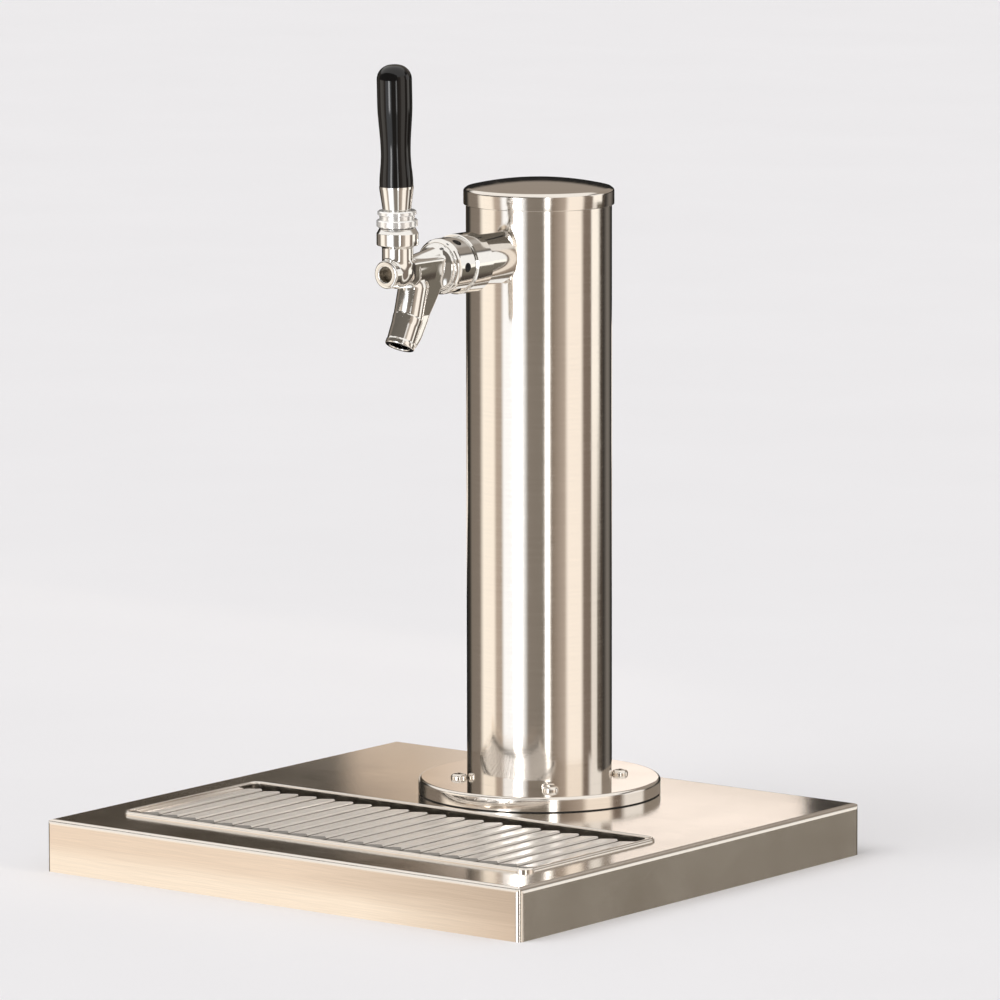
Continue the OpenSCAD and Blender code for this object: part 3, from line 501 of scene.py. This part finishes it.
def oblong(x0, x1, z0, z1):
    return [(x0, z0), (x1, z0), (x1, z1), (x0, z1)]


FLOOR = 9.0
PALE = [(NOISE_LOW, (0.842, 0.832, 0.850)), (NOISE_HIGH, (0.856, 0.846, 0.864))]
floor_mat, tree, bsdf = new_material("pale_floor")
tree.links.new(ramp(tree, noise_at(tree, (5, 5, 5)), PALE), bsdf.inputs["Base Color"])
bsdf.inputs["Roughness"].default_value = 0.7
floor = sheet("floor", [(x, y, 0) for x, y in oblong(-FLOOR, FLOOR, -FLOOR, FLOOR)], floor_mat)
floor.visible_glossy = False

# Behind the object: light along the foot, above that dark on the left and bright on the right
mat, tree, colour, at = reflector_at("back_reflector")
leaning = calc(tree, "MULTIPLY_ADD", ease_over(tree, at["Z"], 0.17, 0.205), -0.1, at["X"])
shade = mixed(tree, ease_over(tree, at["Z"], 0.19, 0.205), (0.075, 0.064, 0.050), (0.050, 0.039, 0.028))
glow = mixed(tree, ease_over(tree, at["X"], -0.50, -0.34), (0.67, 0.525, 0.40), (1.19, 1.06, 0.96))
upper = mixed(tree, ease_over(tree, leaning, -0.565, -0.545), shade, glow)
lower = mixed(tree, ease_over(tree, at["Z"], 0.055, 0.085), (1.08, 0.98, 0.87), (0.60, 0.52, 0.44))
tree.links.new(mixed(tree, ease_over(tree, at["Z"], 0.12, 0.132), lower, upper), colour)
card("back_reflector", 0.6, [(-1.0, 0.02), (-0.35, 0.02), (-0.2, 0.10), (-0.2, 0.21), (-0.48, 0.222), (-0.50, 0.30),
                             (-1.0, 0.30)], mat)

# Close to the deck's front: cream, with an uneven line between its two tones
mat, tree, colour, at = reflector_at("front_reflector")
level = calc(tree, "MULTIPLY_ADD", noise_at(tree, (7, 1, 300)), 0.012, at["Z"])
top = mixed(tree, ease_over(tree, at["X"], 0.0, 0.148), (1.02, 0.85, 0.69), (0.70, 0.57, 0.455))
low = mixed(tree, ease_over(tree, at["X"], 0.05, 0.15), (1.17, 1.03, 0.865), (0.80, 0.65, 0.52))
tree.links.new(mixed(tree, ease_over(tree, level, 0.012, 0.021), low, top), colour)
card("front_reflector", -0.156, oblong(-0.19, 0.150, -0.004, 0.0268), mat)

# Dark flag in front of the faucet, above the spout
mat, tree, colour, at = reflector_at("flag")
tree.links.new(mixed(tree, ease_over(tree, at["X"], -0.3, 0.3), (0.15, 0.135, 0.115), (0.18, 0.16, 0.135)), colour)
card("flag", -0.29, oblong(-0.95, 0.40, 0.40, 0.75), mat)


# Camera, fitted to the edges in the photo

FOCAL_PX, FRAME_PX, SENSOR = 8282.87, 1000.0, 36.0
CAM_AZ, CAM_ROLL = math.radians(37.3912), math.radians(-0.102)
CAM_DISTANCE, CAM_HEIGHT, AIM_HEIGHT, AIM_LEFT = 4.39015, 0.808156, 0.158368, 0.0210
right = Vector((math.cos(CAM_AZ), math.sin(CAM_AZ), 0))
back = Vector((math.sin(CAM_AZ), -math.cos(CAM_AZ), 0))
tower = Vector((0, TOWER_Y, DECK_TOP))
camera = bpy.data.objects.new("camera", bpy.data.cameras.new("camera"))
scene.collection.objects.link(camera)
camera.data.sensor_width = SENSOR
camera.data.lens = FOCAL_PX/FRAME_PX*SENSOR
camera.data.clip_end = 50.0
camera.location = tower + back*CAM_DISTANCE + Vector((0, 0, CAM_HEIGHT))
aim = tower + Vector((0, 0, AIM_HEIGHT)) - right*AIM_LEFT
facing = (aim - camera.location).to_track_quat("-Z", "Y")
camera.rotation_mode = "QUATERNION"
camera.rotation_quaternion = facing @ Matrix.Rotation(CAM_ROLL, 3, "Z").to_quaternion()
scene.camera = camera


# World: strip lights and flags round the object as metal sees them, an even grey for everything else

# Tones by compass angle in degrees from the front
STUDIO = [
    (-180, (0.20, 0.18, 0.16)), (-165, (0.03, 0.028, 0.025)), (-128, (0.012, 0.012, 0.012)),
    (-106, (0.04, 0.036, 0.03)), (-97, (0.24, 0.205, 0.17)), (-72, (0.26, 0.22, 0.185)), (-62, (1.18, 1.10, 0.98)),
    (-40, (1.18, 1.08, 0.95)), (-34, (0.54, 0.45, 0.375)), (-25, (0.50, 0.42, 0.35)), (-20, (1.2, 1.22, 1.24)),
    (12, (1.2, 1.22, 1.24)), (20, (0.27, 0.235, 0.20)), (44, (0.25, 0.22, 0.185)), (48, (1.1, 1.08, 1.04)),
    (53, (1.1, 1.08, 1.04)), (57, (0.27, 0.215, 0.17)), (78, (0.52, 0.44, 0.37)), (84, (1.15, 1.05, 0.94)),
    (107, (1.15, 1.05, 0.94)), (113, (0.24, 0.19, 0.155)), (127, (0.22, 0.175, 0.14)), (130, (0.92, 0.86, 0.79)),
    (137, (0.92, 0.86, 0.79)), (139.5, (0.20, 0.175, 0.14)), (146, (0.20, 0.175, 0.14)), (152, (0.10, 0.08, 0.065)),
    (162, (0.05, 0.045, 0.04)), (173, (0.20, 0.18, 0.16)), (180, (0.20, 0.18, 0.16)),
]
NONE, SOME, FULL = (0.0,)*3, (0.4,)*3, (1.0,)*3
SIDE = [(128, NONE), (130.5, FULL), (149, FULL), (152, NONE)]
GLINTS = [(-4, NONE), (0, FULL), (6, FULL), (10, NONE), (46.5, NONE), (48.5, SOME), (52, SOME), (54, NONE)]
SIDE_LIGHT, GLINT_LIGHT = (1.22, 1.16, 1.06), (7.0, 7.0, 7.0)
WHITE, TAN, DARK, SHADE = (1.05, 1.02, 0.98), (0.34, 0.295, 0.25), (0.11, 0.10, 0.09), (0.02, 0.019, 0.018)
EVEN, BACKDROP = (0.62, 0.615, 0.61), (0.838, 0.823, 0.831)

world = bpy.data.worlds.new("studio")
scene.world = world
world.use_nodes = True
tree = world.node_tree
tree.nodes.clear()
split = add(tree, "ShaderNodeSeparateXYZ")
tree.links.new(add(tree, "ShaderNodeTexCoord").outputs["Generated"], split.inputs["Vector"])
X, Y, Z = (split.outputs[axis] for axis in "XYZ")
angle = calc(tree, "ARCTAN2", X, calc(tree, "MULTIPLY", Y, -1.0))
compass = ease_over(tree, angle, -math.pi, math.pi)


def by_angle(stops):
    return ramp(tree, compass, [((a + 180)/360, c) for a, c in stops])


# The side light leaves out what lies low, and so do the hot cores of two strips, which show on the black handle
side = calc(tree, "MULTIPLY", by_angle(SIDE), ease_over(tree, Z, -0.16, -0.135))
glint = calc(tree, "MULTIPLY", by_angle(GLINTS), ease_over(tree, Z, -0.24, -0.20))
strips = mixed(tree, glint, mixed(tree, side, by_angle(STUDIO), SIDE_LIGHT), GLINT_LIGHT, "ADD")
front = mixed(tree, ease_over(tree, Z, 0.36, 0.46), strips, WHITE)

# Behind the object, where the cap and other upward faces look
far_left = ramp(tree, Z, [(0.21, SHADE), (0.27, TAN), (0.60, TAN), (0.70, WHITE)])
near_left = ramp(tree, Z, [(0.11, SHADE), (0.15, TAN), (0.60, TAN), (0.70, WHITE)])
rear_left = mixed(tree, ease_over(tree, X, -0.45, -0.35), far_left, near_left)
rear_right = ramp(tree, Z, [(0.38, WHITE), (0.43, DARK), (0.62, DARK), (0.70, WHITE)])
rear = mixed(tree, ease_over(tree, X, 0.38, 0.46), rear_left, rear_right)
behind = calc(tree, "MULTIPLY", ease_over(tree, Y, 0.5, 0.6), ease_over(tree, Z, -0.02, 0.01))

path = add(tree, "ShaderNodeLightPath")
seen = add(tree, "ShaderNodeBackground", Strength=1.0)
tree.links.new(mixed(tree, behind, front, rear), seen.inputs["Color"])
even = add(tree, "ShaderNodeBackground", Strength=1.0)
tree.links.new(mixed(tree, path.outputs["Is Camera Ray"], EVEN, BACKDROP), even.inputs["Color"])
pick = add(tree, "ShaderNodeMixShader")
out = add(tree, "ShaderNodeOutputWorld")
tree.links.new(path.outputs["Is Glossy Ray"], pick.inputs["Fac"])
tree.links.new(even.outputs["Background"], pick.inputs[1])
tree.links.new(seen.outputs["Background"], pick.inputs[2])
tree.links.new(pick.outputs["Shader"], out.inputs["Surface"])

sun = bpy.data.objects.new("key", bpy.data.lights.new("key", "SUN"))
scene.collection.objects.link(sun)
sun.data.energy = 1.5
sun.data.angle = math.radians(50)
sun.rotation_euler = (math.radians(35), 0, math.radians(-25))
sun.visible_glossy = False

scene.view_settings.view_transform = "Standard"
